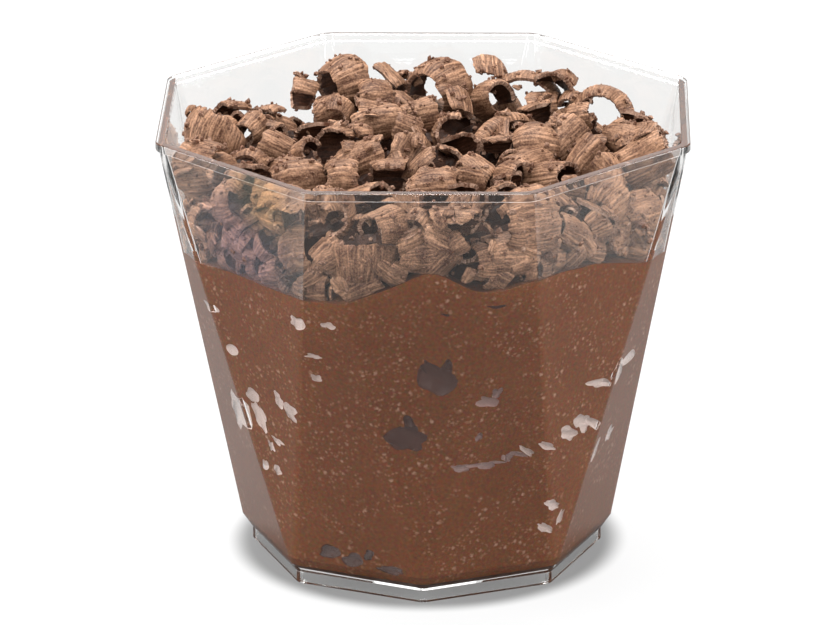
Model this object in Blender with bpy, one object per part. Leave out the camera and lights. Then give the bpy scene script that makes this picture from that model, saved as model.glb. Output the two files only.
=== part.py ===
"""Chocolate mousse in a clear eight-sided dessert cup, under a heap of shaved chocolate curls.

The cup's rim and base are octagons turned half a side from each other, so that sixteen
triangular facets join them. Metres, +Z up, origin on the table under the foot's middle,
and one flat side of the rim faces -Y.
"""
import math
import random
from collections import namedtuple

import bmesh
import bpy
from mathutils import Matrix, Vector

MM = 0.001
SIDES = 8
HALF_SIDE = math.pi / SIDES
# A side of the rim faces the front, and a corner of the base does
RIM_TURN = HALF_SIDE
BASE_TURN = 0.0

# The cup's outside: heights above the table, and radii out to the octagons' corners
CUP_HEIGHT = 70.7 * MM
RIM_RADIUS = 44.0 * MM
RIM_BAND_HEIGHT = 1.3 * MM
RIM_BAND_PROUD = 0.45 * MM
BASE_RADIUS = 29.2 * MM
BASE_HEIGHT = 4.2 * MM
FOOT_RADIUS = 27.6 * MM
FOOT_HEIGHT = 1.9 * MM
RIM_CORNER_ROUND = 3.0 * MM
BASE_CORNER_ROUND = 2.0 * MM

# The cup's inside
WALL = 1.2 * MM
FLOOR_TOP = 3.3 * MM
FLOOR = 1.3 * MM

# Linear colours of the three materials
CLEAR_PLASTIC = (0.92, 0.93, 0.94)
MOUSSE_BROWN = (0.150, 0.070, 0.042)
CURL_BROWN = (0.200, 0.105, 0.068)

# Touching pieces keep this gap
GAP = 0.3 * MM

# The mousse's level at the wall, and the swells in it: azimuth and half width in degrees
MOUSSE_LEVEL = 51.2 * MM
MOUSSE_SWELLS = (
    (-142.0, 9.0, 0.9 * MM),
    (-91.0, 9.0, 4.8 * MM),
    (-87.0, 4.5, 2.4 * MM),
    (-55.0, 17.0, 5.0 * MM),
    (28.0, 20.0, 2.6 * MM),
    (96.0, 22.0, 3.2 * MM),
    (152.0, 15.0, 1.6 * MM),
)
SURFACE_REACH = 46.0 * MM
SURFACE_RINGS = 7
SURFACE_SPOKES = 72

# The heap of curls and the core under them
CURL_THICKNESS = 0.9 * MM
CURL_STEP = 48.0
CORE_TOP = 61.6 * MM
CORE_INSET = 2.6 * MM
CORE_LUMP = 0.9 * MM
CORE_RINGS = 4
CORE_SPOKES = 30
# The core stands on the mousse through its curls
CORE_LIFT = 1.2 * MM
HEAP_TOP = 66.4
HEAP_SEED = 41
WALL_TIERS = ((58.4, 0.0), (63.4, 0.5))
WALL_CURLS = 16
TOP_CURLS = 66
WALL_REACH = 40.0
TOP_REACH = 35.0
# A scattered curl keeps this share of the two sizes away from a placed one
ELBOW_ROOM = 0.48

# A curl is an arc of shaved chocolate round an axis. The place is the axis's middle.
# The sizes are in mm, and bow and flare bulge its wall or open it towards one end. The
# heading and tilt of the axis, the roll round it and the turn of the arc are in degrees.
Curl = namedtuple("Curl", "x y z radius width turn heading tilt roll bow flare")

# The curls that stand out on the top, from the back to the front
TOP_SHOWN = (
    Curl(-13.5, 31.0, 64.4, 4.4, 6.5, 270, 40, 5, -10, 0.5, 0.4),
    Curl(-9.0, 27.0, 62.8, 3.4, 6.0, 210, 20, 0, 65, 0.4, 0.0),
    Curl(1.5, 31.0, 63.2, 4.9, 6.5, 255, 48, 0, 10, 0.4, 0.5),
    Curl(10.0, 28.5, 63.2, 2.7, 5.2, 280, -50, 25, 30, 0.6, 0.0),
    Curl(15.0, 30.5, 60.6, 6.3, 3.6, 140, 80, -12, 8, 0.0, 0.4),
    Curl(22.6, 25.2, 63.2, 2.2, 3.4, 200, 70, 0, 20, 0.0, 0.3),
    Curl(28.2, 21.0, 62.6, 4.6, 4.5, 170, 75, -8, 20, 0.3, 0.4),
    Curl(-14.5, 19.5, 63.2, 2.9, 3.6, 230, 80, 10, 60, 0.0, 0.3),
    Curl(-8.0, 15.5, 63.4, 2.2, 8.0, 250, 12, 6, 40, 0.4, 0.3),
    Curl(11.5, 13.5, 55.9, 9.0, 3.2, 105, -51, 0, 0, 0.0, 0.0),
    Curl(26.0, 13.0, 63.4, 4.2, 6.0, 110, 25, 0, -130, 0.3, 0.5),
    Curl(-27.5, 11.5, 63.6, 2.3, 5.0, 280, 65, 8, 20, 0.0, 0.2),
    Curl(31.5, 7.0, 63.4, 2.8, 7.5, 270, -37, 0, 30, 0.4, 0.4),
    Curl(-32.5, 6.0, 63.8, 4.0, 8.0, 210, 50, 62, 0, 1.2, 0.6),
    Curl(17.0, 3.0, 62.4, 3.9, 7.0, 190, 5, 0, 40, 1.1, 0.0),
    Curl(-27.0, -3.5, 61.8, 3.2, 4.5, 170, 80, -15, 0, 0.3, 0.3),
    Curl(-12.5, -12.0, 62.8, 3.0, 5.0, 260, 5, 0, 60, 0.4, 0.2),
    Curl(-5.5, -10.5, 62.6, 3.4, 6.0, 190, -5, 0, -60, 0.3, 0.4),
    Curl(5.8, -9.6, 62.4, 4.2, 9.5, 230, -12, 0, 160, 0.5, 0.4),
    Curl(14.0, -9.0, 62.6, 2.6, 6.5, 200, -60, 15, 60, 0.3, 0.2),
    Curl(-19.5, -11.5, 62.6, 2.8, 8.0, 240, 15, 0, 50, 0.5, 0.3),
    Curl(1.5, -16.5, 62.8, 3.0, 7.0, 220, 5, 0, 45, 0.6, 0.3),
)

# The curls that show through the wall, from left to right
WALL_SHOWN = (
    Curl(-33.0, -12.6, 56.6, 2.7, 5.0, 200, -70, 10, 90, 0.3, 0.2),
    Curl(-28.0, -19.4, 62.4, 3.0, 6.0, 240, -55, 20, 80, 0.6, 0.2),
    Curl(-26.0, -20.4, 57.2, 3.6, 7.0, 230, -55, -20, 90, 0.5, 0.4),
    Curl(-20.5, -26.5, 63.8, 3.2, 6.0, 200, -40, 0, 70, 0.4, 0.3),
    Curl(-17.8, -29.8, 58.4, 3.2, 5.5, 190, -30, 20, 90, 0.4, 0.4),
    Curl(-13.5, -32.0, 64.4, 3.4, 3.6, 200, 85, -10, 80, 0.2, 0.3),
    Curl(-8.8, -31.0, 57.0, 5.6, 6.6, 130, 82, 78, 0, 0.3, 1.2),
    Curl(-5.0, -32.5, 63.6, 4.4, 3.0, 105, 60, 10, 150, 0.0, 0.3),
    Curl(-0.8, -33.0, 61.8, 3.5, 4.4, 240, 70, 0, 90, 0.2, 0.3),
    Curl(7.0, -31.5, 61.8, 4.4, 7.0, 240, 60, 10, -120, 0.4, 0.5),
    Curl(16.0, -30.6, 62.0, 5.0, 8.0, 150, 27, 0, 75, 0.5, 0.3),
    Curl(27.4, -19.4, 62.6, 3.0, 5.0, 220, 55, 20, 80, 0.4, 0.2),
    Curl(27.4, -18.8, 57.6, 3.0, 5.5, 200, 55, -5, 90, 0.4, 0.2),
)


def octagon(corner_radius, height, turn, rounding, steps=3):
    """The points of an octagon with rounded corners, at one height."""
    centre_radius = corner_radius - rounding / math.cos(HALF_SIDE)
    points = []
    for side in range(SIDES):
        corner = turn + 2.0 * HALF_SIDE * side
        for step in range(steps + 1):
            angle = corner + HALF_SIDE * (2.0 * step / steps - 1.0)
            points.append(Vector((
                centre_radius * math.cos(corner) + rounding * math.cos(angle),
                centre_radius * math.sin(corner) + rounding * math.sin(angle),
                height)))
    return points


def inner_radius(height, inset):
    """Corner radius at a height of the body's slope, drawn in by an inset of its flats."""
    band_bottom = CUP_HEIGHT - RIM_BAND_HEIGHT
    top = RIM_RADIUS - RIM_BAND_PROUD / math.cos(HALF_SIDE)
    share = (height - BASE_HEIGHT) / (band_bottom - BASE_HEIGHT)
    return BASE_RADIUS + share * (top - BASE_RADIUS) - inset / math.cos(HALF_SIDE)


def finish(target, colour, roughness, smooth_below):
    """Gives an object its own material, and smooth shading across its gentle edges."""
    material = bpy.data.materials.new(target.name)
    material.use_nodes = True
    shader = material.node_tree.nodes["Principled BSDF"]
    shader.inputs["Base Color"].default_value = (*colour, 1.0)
    shader.inputs["Roughness"].default_value = roughness
    shader.inputs["Metallic"].default_value = 0.0
    target.data.materials.clear()
    target.data.materials.append(material)
    target.data.shade_smooth()
    target.data.set_sharp_from_angle(angle=math.radians(smooth_below))
    return material


def add_object(name, mesh):
    """A new object in the scene."""
    thing = bpy.data.objects.new(name, mesh)
    bpy.context.scene.collection.objects.link(thing)
    return thing


def mesh_from_bmesh(name, bm):
    """A mesh of outward triangles from a bmesh, which is freed."""
    bmesh.ops.recalc_face_normals(bm, faces=bm.faces)
    bmesh.ops.triangulate(bm, faces=bm.faces)
    mesh = bpy.data.meshes.new(name)
    bm.to_mesh(mesh)
    bm.free()
    return mesh


def hull(name, *loops):
    """A solid stretched round loops of points."""
    bm = bmesh.new()
    for loop in loops:
        for point in loop:
            bm.verts.new(point)
    result = bmesh.ops.convex_hull(bm, input=bm.verts)
    spare = [item for item in result["geom_interior"] if isinstance(item, bmesh.types.BMVert)]
    bmesh.ops.delete(bm, geom=spare, context="VERTS")
    return add_object(name, mesh_from_bmesh(name, bm))


def apply_boolean(target, operation, tool):
    """Joins, cuts or trims an object by another, which is then removed."""
    modifier = target.modifiers.new(operation, "BOOLEAN")
    modifier.operation = operation
    modifier.object = tool
    apply_modifiers(target)
    bpy.data.objects.remove(tool)


def apply_modifiers(target):
    """Turns what an object's modifiers show into its own mesh."""
    shown = target.evaluated_get(bpy.context.evaluated_depsgraph_get())
    mesh = bpy.data.meshes.new_from_object(shown)
    target.modifiers.clear()
    target.data = mesh


def cavity(name, inset, bottom):
    """The cup's hollow, drawn in by an inset from its wall and standing on a height."""
    top = CUP_HEIGHT + RIM_BAND_HEIGHT
    corner = BASE_HEIGHT + 0.3 * MM
    chamfer = 0.9 * MM
    shrink = WALL + inset
    return hull(
        name,
        octagon(inner_radius(top, shrink), top, RIM_TURN, RIM_CORNER_ROUND - WALL),
        octagon(inner_radius(corner, shrink), corner, BASE_TURN, BASE_CORNER_ROUND - WALL),
        octagon(inner_radius(bottom, shrink) - chamfer, bottom, BASE_TURN,
                BASE_CORNER_ROUND - WALL))


def build_cup():
    """Foot ring, chamfer, faceted body and rim band, hollowed above and below the floor."""
    band_bottom = CUP_HEIGHT - RIM_BAND_HEIGHT
    sink = 0.5 * MM
    cup = hull(
        "cup",
        octagon(inner_radius(CUP_HEIGHT - sink, 0.0), CUP_HEIGHT - sink, RIM_TURN,
                RIM_CORNER_ROUND),
        octagon(BASE_RADIUS, BASE_HEIGHT, BASE_TURN, BASE_CORNER_ROUND),
        octagon(FOOT_RADIUS, FOOT_HEIGHT, BASE_TURN, BASE_CORNER_ROUND))
    band = hull(
        "band",
        octagon(RIM_RADIUS, CUP_HEIGHT, RIM_TURN, RIM_CORNER_ROUND),
        octagon(RIM_RADIUS, band_bottom, RIM_TURN, RIM_CORNER_ROUND))
    apply_boolean(cup, "UNION", band)
    foot_top = FOOT_HEIGHT + sink
    foot = hull(
        "foot",
        octagon(FOOT_RADIUS, 0.0, BASE_TURN, BASE_CORNER_ROUND),
        octagon(FOOT_RADIUS, foot_top, BASE_TURN, BASE_CORNER_ROUND))
    apply_boolean(cup, "UNION", foot)
    apply_boolean(cup, "DIFFERENCE", cavity("hollow", 0.0, FLOOR_TOP))
    ring_inside = FOOT_RADIUS - WALL / math.cos(HALF_SIDE)
    recess = hull(
        "recess",
        octagon(ring_inside, FLOOR_TOP - FLOOR, BASE_TURN, BASE_CORNER_ROUND - WALL),
        octagon(ring_inside, -sink, BASE_TURN, BASE_CORNER_ROUND - WALL))
    apply_boolean(cup, "DIFFERENCE", recess)
    return cup


def mousse_top(x, y):
    """The height of the mousse's uneven surface."""
    reach = math.hypot(x, y) / (RIM_RADIUS - WALL)
    azimuth = math.degrees(math.atan2(y, x))
    height = MOUSSE_LEVEL + 1.2 * MM * (1.0 - reach * reach)
    for place, half_width, rise in MOUSSE_SWELLS:
        away = (azimuth - place + 180.0) % 360.0 - 180.0
        height += rise * reach * reach * math.exp(-0.5 * (away / half_width) ** 2)
    return height


def heap_core_top(x, y):
    """The height of the core under the curls, in soft lumps."""
    lumps = math.sin(x / (4.1 * MM)) * math.cos(y / (3.7 * MM) + 0.6)
    return CORE_TOP + CORE_LUMP * lumps


def plate_between(name, lower, upper, reach, ring_count, spokes):
    """A round solid between two height functions."""
    bm = bmesh.new()
    sheets = []
    for height in (lower, upper):
        rings = [[bm.verts.new((0.0, 0.0, height(0.0, 0.0)))]]
        for ring in range(1, ring_count + 1):
            row = []
            for spoke in range(spokes):
                angle = math.tau * spoke / spokes
                x = reach * ring / ring_count * math.cos(angle)
                y = reach * ring / ring_count * math.sin(angle)
                row.append(bm.verts.new((x, y, height(x, y))))
            rings.append(row)
        sheets.append(rings)
    for rings in sheets:
        for spoke in range(spokes):
            after = (spoke + 1) % spokes
            bm.faces.new((rings[0][0], rings[1][spoke], rings[1][after]))
            for near, far in zip(rings[1:], rings[2:]):
                bm.faces.new((near[spoke], far[spoke], far[after], near[after]))
    low, high = sheets[0][-1], sheets[1][-1]
    for spoke in range(spokes):
        after = (spoke + 1) % spokes
        bm.faces.new((low[spoke], low[after], high[after], high[spoke]))
    return add_object(name, mesh_from_bmesh(name, bm))


def build_mousse():
    """What fills the cup up to its uneven surface, clear of the wall and the floor."""
    mousse = cavity("mousse", GAP, FLOOR_TOP + GAP)
    below = plate_between("below", lambda x, y: 0.0, mousse_top, SURFACE_REACH,
                          SURFACE_RINGS, SURFACE_SPOKES)
    apply_boolean(mousse, "INTERSECT", below)
    return mousse


def wall_planes():
    """Each face of the cup's hollow, as a point and a normal that leads into the wall."""
    room = cavity("room", GAP, FLOOR_TOP + GAP)
    planes = [(face.center.copy(), face.normal.copy()) for face in room.data.polygons]
    bpy.data.objects.remove(room)
    return planes


def curl_sections(curl, rng):
    """Rings of points along a curl's arc, outer face first, with a ragged edge."""
    steps = max(3, round(curl.turn / CURL_STEP))
    places = (-0.5, 0.0, 0.5) if curl.bow else (-0.5, 0.5)
    sections = []
    for step in range(steps + 1):
        angle = math.radians(curl.turn) * (step / steps - 0.5)
        outer, inner = [], []
        for place in places:
            end = place * rng.uniform(0.84, 1.08)
            bulge = curl.bow * (1.0 - 4.0 * end * end) + curl.flare * 2.0 * end
            radius = (curl.radius + bulge) * MM
            for row, reach in ((outer, radius), (inner, radius - CURL_THICKNESS)):
                row.append(Vector((end * curl.width * MM, reach * math.sin(angle),
                                   reach * math.cos(angle))))
        sections.append(outer + inner[::-1])
    return sections


def placing(curl):
    """Where a curl's axis lies and how the arc is turned about it."""
    return (Matrix.Translation(Vector((curl.x, curl.y, curl.z)) * MM)
            @ Matrix.Rotation(math.radians(curl.heading), 4, "Z")
            @ Matrix.Rotation(-math.radians(curl.tilt), 4, "Y")
            @ Matrix.Rotation(math.radians(curl.roll), 4, "X"))


def settle(points, planes):
    """Moves points together until they are clear of the wall and of the mousse."""
    for _ in range(6):
        for centre, normal in planes:
            into = max((point - centre).dot(normal) for point in points)
            if into > 0.0:
                points = [point - normal * into for point in points]
        sunk = max(mousse_top(point.x, point.y) + 2.0 * GAP - point.z for point in points)
        if sunk > 0.0:
            points = [point + Vector((0.0, 0.0, sunk)) for point in points]
    return points


def build_curl(name, curl, planes, rng):
    """One closed curl, settled in its place."""
    sections = curl_sections(curl, rng)
    matrix = placing(curl)
    points = settle([matrix @ point for ring in sections for point in ring], planes)
    bm = bmesh.new()
    verts = [bm.verts.new(point) for point in points]
    around = len(sections[0])
    rings = [verts[start:start + around] for start in range(0, len(verts), around)]
    for ring, after in zip(rings, rings[1:]):
        for corner in range(around):
            follow = (corner + 1) % around
            bm.faces.new((ring[corner], after[corner], after[follow], ring[follow]))
    for end in (rings[0], rings[-1]):
        bm.faces.new(end)
    return add_object(name, mesh_from_bmesh(name, bm))


def scattered_curl(rng, reach, angle, height, size):
    """A curl of a random form at a place."""
    return Curl(reach * math.cos(angle), reach * math.sin(angle), height, size,
                size * rng.uniform(1.5, 2.3), rng.uniform(110, 250),
                rng.uniform(0, 180), rng.uniform(-35, 35), rng.uniform(-100, 100),
                0.0, rng.uniform(0.0, 0.5))


def scattered_curls(rng):
    """Curls by rule: two tiers round the wall, and a spiral of places over the top."""
    curls = []
    for height, lift in WALL_TIERS:
        for index in range(WALL_CURLS):
            angle = math.tau * (index + lift + rng.uniform(-0.15, 0.15)) / WALL_CURLS
            size = rng.uniform(2.6, 4.0)
            curls.append(scattered_curl(rng, WALL_REACH - size, angle,
                                        height + rng.uniform(-0.8, 0.8), size))
    golden = math.pi * (3.0 - math.sqrt(5.0))
    for index in range(TOP_CURLS):
        reach = TOP_REACH * math.sqrt((index + 0.5) / TOP_CURLS)
        size = rng.uniform(2.2, 4.0)
        curls.append(scattered_curl(rng, reach, golden * index,
                                    HEAP_TOP - size + rng.uniform(-2.2, 0.2), size))
    return curls


def all_curls(rng):
    """The curls that stand out, and the scattered ones that have room beside them."""
    shown = list(TOP_SHOWN + WALL_SHOWN)
    for curl in scattered_curls(rng):
        here = Vector((curl.x, curl.y, curl.z))
        clear = all((Vector((other.x, other.y, other.z)) - here).length
                    > ELBOW_ROOM * (curl.radius + other.radius + 0.25 * other.width)
                    for other in TOP_SHOWN + WALL_SHOWN)
        if clear:
            shown.append(curl)
    return shown


def keep_outside(target):
    """Drops what a union sealed in or left apart, and keeps the largest shell."""
    bm = bmesh.new()
    bm.from_mesh(target.data)
    left = set(bm.verts)
    shells = []
    while left:
        shell, edge = set(), [left.pop()]
        while edge:
            vert = edge.pop()
            shell.add(vert)
            near = [link.other_vert(vert) for link in vert.link_edges]
            edge.extend(other for other in near if other in left)
            left.difference_update(near)
        shells.append(shell)
    shells.sort(key=len)
    spare = [vert for shell in shells[:-1] for vert in shell]
    bmesh.ops.delete(bm, geom=spare, context="VERTS")
    bm.to_mesh(target.data)
    bm.free()


def build_curls():
    """The heap: a core under the surface, and the curls joined to it and to each other."""
    planes = wall_planes()
    rng = random.Random(HEAP_SEED)
    heap = cavity("chocolate_curls", CORE_INSET, FLOOR_TOP)
    layer = plate_between("layer", lambda x, y: mousse_top(x, y) + CORE_LIFT, heap_core_top,
                          SURFACE_REACH, CORE_RINGS, CORE_SPOKES)
    apply_boolean(heap, "INTERSECT", layer)
    pieces = bpy.data.collections.new("curls")
    bpy.context.scene.collection.children.link(pieces)
    for number, curl in enumerate(all_curls(rng)):
        piece = build_curl(f"curl_{number}", curl, planes, rng)
        bpy.context.scene.collection.objects.unlink(piece)
        pieces.objects.link(piece)
    union = heap.modifiers.new("union", "BOOLEAN")
    union.operand_type = "COLLECTION"
    union.collection = pieces
    union.operation = "UNION"
    union.solver = "MANIFOLD"
    apply_modifiers(heap)
    for piece in list(pieces.objects):
        bpy.data.objects.remove(piece)
    bpy.data.collections.remove(pieces)
    keep_outside(heap)
    return heap


def build_scene():
    for thing in list(bpy.data.objects):
        bpy.data.objects.remove(thing)
    plastic = finish(build_cup(), CLEAR_PLASTIC, 0.05, 12.0)
    plastic.node_tree.nodes["Principled BSDF"].inputs["Transmission Weight"].default_value = 1.0
    finish(build_mousse(), MOUSSE_BROWN, 0.6, 30.0)
    finish(build_curls(), CURL_BROWN, 0.5, 50.0)


build_scene()
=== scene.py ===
# %% [markdown]
# # Chocolate mousse in a clear cup
#
# A ready-made dessert: milk-chocolate mousse, filled into a clear eight-sided cup and
# covered with shaved chocolate curls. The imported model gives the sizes. This script
# dresses it: it moulds the plastic finely, fills it with mousse that clings to the wall
# with a few trapped air pockets, and lays ridged curls, chips and crumbs on top.

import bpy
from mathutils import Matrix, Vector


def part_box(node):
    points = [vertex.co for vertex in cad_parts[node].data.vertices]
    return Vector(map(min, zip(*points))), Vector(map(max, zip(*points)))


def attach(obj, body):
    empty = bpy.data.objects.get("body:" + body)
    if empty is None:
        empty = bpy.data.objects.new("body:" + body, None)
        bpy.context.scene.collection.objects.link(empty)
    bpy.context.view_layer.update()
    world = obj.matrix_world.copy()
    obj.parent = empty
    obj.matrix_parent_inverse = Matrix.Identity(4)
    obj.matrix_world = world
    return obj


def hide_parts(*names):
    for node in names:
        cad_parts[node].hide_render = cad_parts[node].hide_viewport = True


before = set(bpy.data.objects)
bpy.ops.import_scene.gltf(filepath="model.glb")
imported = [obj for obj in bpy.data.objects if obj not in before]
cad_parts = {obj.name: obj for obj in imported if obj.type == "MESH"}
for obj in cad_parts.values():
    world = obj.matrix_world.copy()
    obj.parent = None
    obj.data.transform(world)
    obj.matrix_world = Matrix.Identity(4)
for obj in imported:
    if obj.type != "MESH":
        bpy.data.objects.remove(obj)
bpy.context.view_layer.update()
print("packed nodes:", sorted(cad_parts))

# %% [markdown]
# Everything below is worked out from a few sizes. The rim's width and the height are
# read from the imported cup. The rest are the same driving sizes that the solids have.

# %% Sizes of the cup
import math
import random
from collections import namedtuple

import bpy
import numpy as np
from mathutils import Matrix, Vector
from mathutils.bvhtree import BVHTree

MM = 0.001
SIDES = 8
HALF_SIDE = math.pi / SIDES
RIM_TURN, BASE_TURN = HALF_SIDE, 0.0
CUP_LOW, CUP_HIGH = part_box("cup")
CUP_HEIGHT = CUP_HIGH[2]
RIM_RADIUS = CUP_HIGH[0] / math.cos(HALF_SIDE)
RIM_BAND_HEIGHT, RIM_BAND_PROUD = 1.3 * MM, 0.45 * MM
BASE_RADIUS, BASE_HEIGHT = 29.2 * MM, 4.2 * MM
FOOT_RADIUS, FOOT_HEIGHT = 27.6 * MM, 1.9 * MM
RIM_ROUND, BASE_ROUND = 3.0 * MM, 2.0 * MM
WALL = 1.2 * MM
FLOOR_TOP, FLOOR = 3.3 * MM, 1.3 * MM
BAND_BOTTOM = CUP_HEIGHT - RIM_BAND_HEIGHT


def slope_radius(height, inset=0.0):
    """Corner radius of the cup's slope at a height, drawn in by an inset of its flats."""
    top = RIM_RADIUS - RIM_BAND_PROUD / math.cos(HALF_SIDE)
    share = (height - BASE_HEIGHT) / (BAND_BOTTOM - BASE_HEIGHT)
    return BASE_RADIUS + share * (top - BASE_RADIUS) - inset / math.cos(HALF_SIDE)


print(f"rim {2 * RIM_RADIUS / MM:.1f} mm across corners, {CUP_HEIGHT / MM:.1f} mm tall")

# %% [markdown]
# A few helpers keep the modelling steps short. An operator acts on all that is
# selected, so each step first deselects everything and picks its own object. Faces are
# then picked in code, by where they are and which way they look.

# %% Helpers for modelling


def only(thing):
    """Makes an object the one that operators act on."""
    bpy.ops.object.select_all(action="DESELECT")
    thing.select_set(True)
    bpy.context.view_layer.objects.active = thing
    return thing


def in_edit_mode(thing, *steps):
    """Runs edit-mode operators on the whole of an object."""
    only(thing)
    bpy.ops.object.mode_set(mode="EDIT")
    bpy.ops.mesh.select_all(action="SELECT")
    for step in steps:
        step()
    bpy.ops.object.mode_set(mode="OBJECT")
    return thing


def apply_modifier(thing, kind, **settings):
    """Adds a modifier with its settings and makes it part of the mesh."""
    only(thing)
    modifier = thing.modifiers.new(kind.lower(), kind)
    for name, value in settings.items():
        setattr(modifier, name, value)
    bpy.ops.object.modifier_apply(modifier=modifier.name)
    return thing


def cut(thing, operation, tool, solver="EXACT"):
    """A Boolean step with a tool, which is then removed."""
    apply_modifier(thing, "BOOLEAN", operation=operation, object=tool, solver=solver)
    bpy.data.objects.remove(tool)
    return thing


def joined(things, name):
    """Several objects as one, with its place in its mesh."""
    bpy.ops.object.select_all(action="DESELECT")
    for thing in things:
        thing.select_set(True)
    bpy.context.view_layer.objects.active = things[0]
    if len(things) > 1:
        bpy.ops.object.join()
    whole = bpy.context.view_layer.objects.active
    whole.name = name
    bpy.ops.object.transform_apply(location=True, rotation=True, scale=True)
    return whole


def smoothed(thing, degrees):
    """Smooth shading, but for edges where faces meet at more than an angle."""
    only(thing)
    bpy.ops.object.shade_smooth_by_angle(angle=math.radians(degrees))
    return thing

# %% [markdown]
# Two counts are made of the pieces: their triangles, and for the cup its open edges too. A
# piece of food or plastic is closed, so it has no open edges.

# %% Counting what was made


def triangles(thing):
    """How many triangles a mesh comes to."""
    thing.data.calc_loop_triangles()
    return len(thing.data.loop_triangles)


def open_edges(thing):
    """How many edges don't join exactly two faces, which is none in a closed skin."""
    uses = {}
    for face in thing.data.polygons:
        for key in face.edge_keys:
            uses[key] = uses.get(key, 0) + 1
    return sum(1 for count in uses.values() if count != 2)

# %% [markdown]
# ## The cup
#
# The real cup is injection-moulded clear polystyrene. Its rim is an octagon with a flat
# side to the front, its base an octagon with a corner to the front, and triangular
# facets lead from one to the other. It could be cut from a cone with planes. Stretching
# a hull between two octagons gives the facets and their softened ridges in one step.
# Each octagon is a circle primitive of eight corners, which a vertex bevel rounds.

# %% Octagons and the walls between them
CORNER_SEGMENTS = 4
LEVEL = 0.999  # how upright the normal of a level face is


def octagon(radius, height, turn, rounding):
    """A rounded octagon as an edge loop at a height."""
    bpy.ops.mesh.primitive_circle_add(vertices=SIDES, radius=radius, location=(0, 0, height),
                                      rotation=(0, 0, turn))
    ring = bpy.context.object
    bpy.ops.object.transform_apply(location=True, rotation=True, scale=True)
    return in_edit_mode(ring, lambda: bpy.ops.mesh.bevel(
        offset=rounding * math.tan(HALF_SIDE), segments=CORNER_SEGMENTS, affect="VERTICES"))


def drop_faces(thing, test):
    """Deletes the faces that a test picks."""
    only(thing)
    bpy.ops.object.mode_set(mode="EDIT")
    bpy.ops.mesh.select_mode(type="FACE")
    bpy.ops.mesh.select_all(action="DESELECT")
    bpy.ops.object.mode_set(mode="OBJECT")
    for face in thing.data.polygons:
        face.select = test(face)
    bpy.ops.object.mode_set(mode="EDIT")
    bpy.ops.mesh.delete(type="FACE")
    bpy.ops.object.mode_set(mode="OBJECT")
    return thing


def stretched(name, *rings):
    """A solid hull over octagons, given as (radius, height, turn, rounding)."""
    solid = joined([octagon(*ring) for ring in rings], name)
    return in_edit_mode(
        solid,
        lambda: bpy.ops.mesh.convex_hull(),
        lambda: bpy.ops.mesh.normals_make_consistent(inside=False))


def wall_between(lower, upper):
    """The sloping wall alone between two octagons at different heights."""
    solid = stretched("wall", lower, upper)
    return drop_faces(solid, lambda face: abs(face.normal.z) > LEVEL)


def ledge_between(inner, outer):
    """A flat ring between two octagons at one height."""
    pair = joined([octagon(*inner), octagon(*outer)], "ledge")
    return in_edit_mode(pair, lambda: bpy.ops.mesh.bridge_edge_loops())


def lid(ring):
    """A flat face over an octagon."""
    return in_edit_mode(octagon(*ring), lambda: bpy.ops.mesh.edge_face_add())

# %% [markdown]
# The cup is one closed skin: rim band, faceted outside, chamfer, foot ring, underside,
# floor and faceted inside. Each stretch is made alone, and merging joins them. A small
# bevel then softens every crisp edge, as the mould does, so that the rim and the foot
# catch a line of light. Weighted normals keep the facets flat between soft ridges.

# %% The cup's skin
FLOOR_EDGE_RISE, FLOOR_EDGE_INSET = 0.3 * MM, 0.9 * MM
MERGE_DISTANCE = 0.002 * MM
MOULD_EDGE, MOULD_EDGE_STEPS = 0.16 * MM, 3
CRISP_ANGLE, SHARP_ANGLE = 28, 32


def inside_rings(inset=0.0, top=CUP_HEIGHT):
    """The cup's inside at rim, base and floor, drawn in from wall and floor by an inset."""
    shrink, corner, bottom = WALL + inset, BASE_HEIGHT + FLOOR_EDGE_RISE, FLOOR_TOP + inset
    floor_radius = slope_radius(bottom, shrink) - FLOOR_EDGE_INSET
    return ((slope_radius(top, shrink), top, RIM_TURN, RIM_ROUND - WALL),
            (slope_radius(corner, shrink), corner, BASE_TURN, BASE_ROUND),
            (floor_radius, bottom, BASE_TURN, BASE_ROUND))


INNER_RIM, INNER_BASE, INNER_FLOOR = inside_rings()
OUTER_RIM = (RIM_RADIUS, CUP_HEIGHT, RIM_TURN, RIM_ROUND)
BAND_EDGE = (RIM_RADIUS, BAND_BOTTOM, RIM_TURN, RIM_ROUND)
OUTER_TOP = (slope_radius(BAND_BOTTOM), BAND_BOTTOM, RIM_TURN, RIM_ROUND)
OUTER_BASE = (BASE_RADIUS, BASE_HEIGHT, BASE_TURN, BASE_ROUND)
FOOT_TOP = (FOOT_RADIUS, FOOT_HEIGHT, BASE_TURN, BASE_ROUND)
FOOT_BOTTOM = (FOOT_RADIUS, 0.0, BASE_TURN, BASE_ROUND)
RING_INSIDE = FOOT_RADIUS - WALL / math.cos(HALF_SIDE)
RING_BOTTOM = (RING_INSIDE, 0.0, BASE_TURN, BASE_ROUND)
RING_TOP = (RING_INSIDE, FLOOR_TOP - FLOOR, BASE_TURN, BASE_ROUND)


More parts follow.
